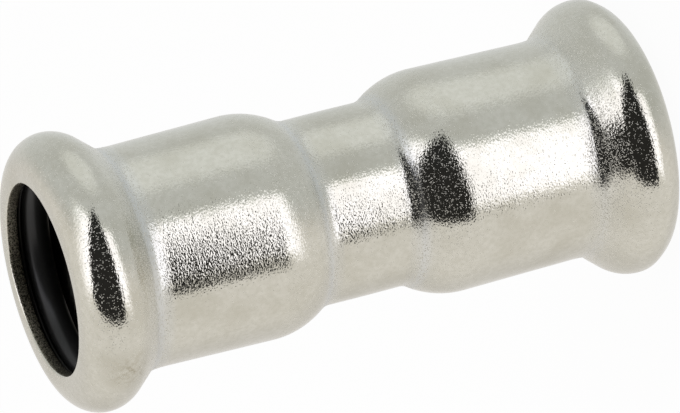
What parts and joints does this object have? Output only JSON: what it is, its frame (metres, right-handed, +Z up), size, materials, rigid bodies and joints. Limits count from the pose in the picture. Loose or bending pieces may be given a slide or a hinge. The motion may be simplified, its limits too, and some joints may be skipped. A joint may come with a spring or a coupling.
{
  "type": "straight press coupling",
  "caption": "Straight tubular press fitting: a formed stainless sleeve with a narrow waist, wider pipe sockets and beaded mouths that hold black rubber seal rings.",
  "frame": {"origin": "on the bore axis, in the plane of the lower mouth that the fitting stands on", "axes": "+Z up along the bore axis from the lower mouth to the upper mouth; X and Y are any two directions across it, as the part is round"},
  "size_m": [0.0226, 0.0226, 0.0512],
  "materials": {
    "formed_steel": "pickled stainless steel, satin with a fine even grain from forming",
    "seal_rubber": "moulded black EPDM, smooth and lightly greased"
  },
  "bodies": {
    "root": {"coupling_body": "formed_steel", "upper_seal": "seal_rubber", "lower_seal": "seal_rubber"}
  },
  "joints": []
}
